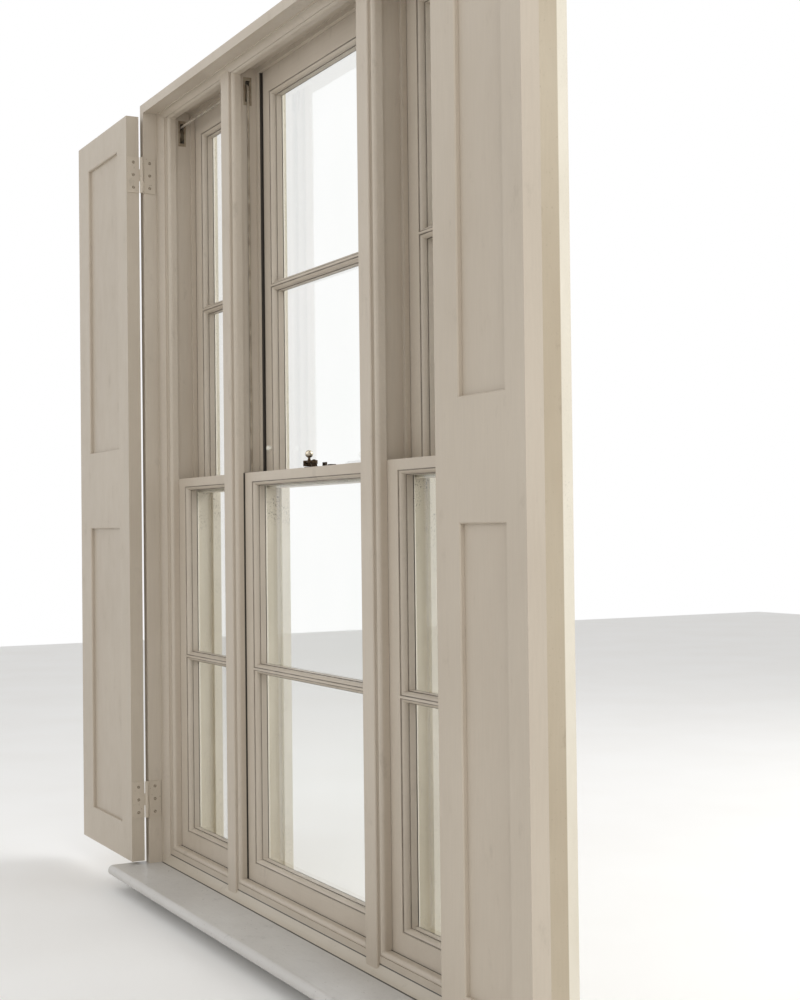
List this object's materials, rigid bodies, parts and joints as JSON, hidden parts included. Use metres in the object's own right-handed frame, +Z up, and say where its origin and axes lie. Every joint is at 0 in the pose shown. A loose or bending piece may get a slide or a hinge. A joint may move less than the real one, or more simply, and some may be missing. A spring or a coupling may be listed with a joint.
{
  "type": "sash window",
  "caption": "Three-light box sash window with cords, weights, pulleys, a rail fastener and panelled shutter leaves.",
  "frame": {"origin": "centre of the window's width on the underside of the sill, level with the room side of the lower sashes", "axes": "+X to the right seen from the room, +Y outwards through the wall, +Z up"},
  "size_m": [2.201, 0.318, 1.965],
  "materials": {
    "room_paint": "eggshell paint on softwood",
    "board_paint": "eggshell paint on softwood",
    "sill_paint": "eggshell paint on hardwood",
    "lining_timber": "sawn softwood with thin paint",
    "glass": "clear polished",
    "putty": "painted linseed putty",
    "cord": "waxed cotton sash cord, partly painted",
    "cast_weight": "rough casting with light rust",
    "pulley_metal": "painted casting",
    "fastener_metal": "dark bronzed, worn on the ball",
    "stop_plastic": "glossy white",
    "hinge_paint": "painted over with the frame"
  },
  "bodies": {
    "frame": {"box_linings": "lining_timber", "cove_mouldings": "room_paint", "head": "room_paint", "hinge_fixed_flaps": "hinge_paint", "lower_side_sashes": "room_paint", "mullion_facings": "room_paint", "mullions": "room_paint", "parting_beads": "room_paint", "pulley_frames": "pulley_metal", "pulley_stiles": "room_paint", "reveal_linings": "room_paint", "side_glass": "glass", "side_light_cords": "cord", "side_putty": "putty", "sill": "sill_paint", "soffit_lining": "room_paint", "staff_beads": "room_paint", "upper_side_sashes": "room_paint", "wagtails": "lining_timber", "window_board": "board_paint"},
    "lower_sash": {"lower_sash_bottom_rail": "room_paint", "lower_sash_cords": "cord", "lower_sash_glass": "glass", "lower_sash_glazing_bar": "room_paint", "lower_sash_meeting_rail": "room_paint", "lower_sash_putty": "putty", "lower_sash_stiles": "room_paint", "fastener_base": "fastener_metal"},
    "upper_sash": {"upper_sash_cords": "cord", "upper_sash_glass": "glass", "upper_sash_glazing_bar": "room_paint", "upper_sash_meeting_rail": "room_paint", "upper_sash_putty": "putty", "upper_sash_stiles": "room_paint", "upper_sash_top_rail": "room_paint", "fastener_keep": "fastener_metal", "sash_stops": "stop_plastic"},
    "fastener_cam": {"fastener_cam": "fastener_metal"},
    "left_shutter": {"left_shutter_frame": "room_paint", "left_shutter_panels": "room_paint", "left_hinge_flaps": "hinge_paint"},
    "right_shutter": {"right_shutter_frame": "room_paint", "right_shutter_panels": "room_paint", "right_hinge_flaps": "hinge_paint"},
    "lower_left_weight": {"lower_left_weight": "cast_weight", "lower_left_weight_cord": "cord"},
    "lower_left_mullion_wheel": {"lower_left_mullion_wheel": "pulley_metal"},
    "lower_left_jamb_wheel": {"lower_left_jamb_wheel": "pulley_metal"},
    "lower_right_weight": {"lower_right_weight": "cast_weight", "lower_right_weight_cord": "cord"},
    "lower_right_mullion_wheel": {"lower_right_mullion_wheel": "pulley_metal"},
    "lower_right_jamb_wheel": {"lower_right_jamb_wheel": "pulley_metal"},
    "upper_left_weight": {"upper_left_weight": "cast_weight", "upper_left_weight_cord": "cord"},
    "upper_left_mullion_wheel": {"upper_left_mullion_wheel": "pulley_metal"},
    "upper_left_jamb_wheel": {"upper_left_jamb_wheel": "pulley_metal"},
    "upper_right_weight": {"upper_right_weight": "cast_weight", "upper_right_weight_cord": "cord"},
    "upper_right_mullion_wheel": {"upper_right_mullion_wheel": "pulley_metal"},
    "upper_right_jamb_wheel": {"upper_right_jamb_wheel": "pulley_metal"}
  },
  "joints": [
    {"name": "lower_sash_slide", "type": "slide", "parent": "frame", "child": "lower_sash", "axis": [0, 0, 1], "range_m": [0, 0.815], "deforming": ["lower_sash_cords"]},
    {"name": "upper_sash_slide", "type": "slide", "parent": "frame", "child": "upper_sash", "axis": [0, 0, -1], "range_m": [0, 0.815], "deforming": ["upper_sash_cords"]},
    {"name": "fastener_turn", "type": "hinge", "parent": "lower_sash", "child": "fastener_cam", "pos_m": [0, 0.028, 1], "axis": [0, 0, -1], "range_deg": [0, 90]},
    {"name": "left_shutter_hinge", "type": "hinge", "parent": "frame", "child": "left_shutter", "pos_m": [-0.762, -0.0785, 0.98], "axis": [0, 0, 1], "range_deg": [0, 180]},
    {"name": "right_shutter_hinge", "type": "hinge", "parent": "frame", "child": "right_shutter", "pos_m": [0.762, -0.0785, 0.98], "axis": [0, 0, -1], "range_deg": [0, 180]},
    {"name": "lower_left_weight_slide", "type": "slide", "parent": "frame", "child": "lower_left_weight", "axis": [0, 0, -1], "range_m": [0, 0.815], "deforming": ["lower_left_weight_cord"]},
    {"name": "lower_left_mullion_wheel_spin", "type": "hinge", "parent": "frame", "child": "lower_left_mullion_wheel", "pos_m": [-0.33, 0.0195, 1.86], "axis": [0, 1, 0], "continuous": true},
    {"name": "lower_left_jamb_wheel_spin", "type": "hinge", "parent": "frame", "child": "lower_left_jamb_wheel", "pos_m": [-0.766, 0.0195, 1.86], "axis": [0, 1, 0], "continuous": true},
    {"name": "lower_right_weight_slide", "type": "slide", "parent": "frame", "child": "lower_right_weight", "axis": [0, 0, -1], "range_m": [0, 0.815], "deforming": ["lower_right_weight_cord"]},
    {"name": "lower_right_mullion_wheel_spin", "type": "hinge", "parent": "frame", "child": "lower_right_mullion_wheel", "pos_m": [0.33, 0.0195, 1.86], "axis": [0, 1, 0], "continuous": true},
    {"name": "lower_right_jamb_wheel_spin", "type": "hinge", "parent": "frame", "child": "lower_right_jamb_wheel", "pos_m": [0.766, 0.0195, 1.86], "axis": [0, 1, 0], "continuous": true},
    {"name": "upper_left_weight_slide", "type": "slide", "parent": "frame", "child": "upper_left_weight", "axis": [0, 0, 1], "range_m": [0, 0.815], "deforming": ["upper_left_weight_cord"]},
    {"name": "upper_left_mullion_wheel_spin", "type": "hinge", "parent": "frame", "child": "upper_left_mullion_wheel", "pos_m": [-0.33, 0.0695, 1.86], "axis": [0, 1, 0], "continuous": true},
    {"name": "upper_left_jamb_wheel_spin", "type": "hinge", "parent": "frame", "child": "upper_left_jamb_wheel", "pos_m": [-0.766, 0.0695, 1.86], "axis": [0, 1, 0], "continuous": true},
    {"name": "upper_right_weight_slide", "type": "slide", "parent": "frame", "child": "upper_right_weight", "axis": [0, 0, 1], "range_m": [0, 0.815], "deforming": ["upper_right_weight_cord"]},
    {"name": "upper_right_mullion_wheel_spin", "type": "hinge", "parent": "frame", "child": "upper_right_mullion_wheel", "pos_m": [0.33, 0.0695, 1.86], "axis": [0, 1, 0], "continuous": true},
    {"name": "upper_right_jamb_wheel_spin", "type": "hinge", "parent": "frame", "child": "upper_right_jamb_wheel", "pos_m": [0.766, 0.0695, 1.86], "axis": [0, 1, 0], "continuous": true}
  ],
  "couplings": [
    {"joint": "lower_left_weight_slide", "follows": "lower_sash_slide", "ratio": 1},
    {"joint": "lower_left_mullion_wheel_spin", "follows": "lower_sash_slide", "rad_per_m": -58.824},
    {"joint": "lower_left_jamb_wheel_spin", "follows": "lower_sash_slide", "rad_per_m": -58.824},
    {"joint": "lower_right_weight_slide", "follows": "lower_sash_slide", "ratio": 1},
    {"joint": "lower_right_mullion_wheel_spin", "follows": "lower_sash_slide", "rad_per_m": 58.824},
    {"joint": "lower_right_jamb_wheel_spin", "follows": "lower_sash_slide", "rad_per_m": 58.824},
    {"joint": "upper_left_weight_slide", "follows": "upper_sash_slide", "ratio": 1},
    {"joint": "upper_left_mullion_wheel_spin", "follows": "upper_sash_slide", "rad_per_m": 58.824},
    {"joint": "upper_left_jamb_wheel_spin", "follows": "upper_sash_slide", "rad_per_m": 58.824},
    {"joint": "upper_right_weight_slide", "follows": "upper_sash_slide", "ratio": 1},
    {"joint": "upper_right_mullion_wheel_spin", "follows": "upper_sash_slide", "rad_per_m": -58.824},
    {"joint": "upper_right_jamb_wheel_spin", "follows": "upper_sash_slide", "rad_per_m": -58.824}
  ]
}
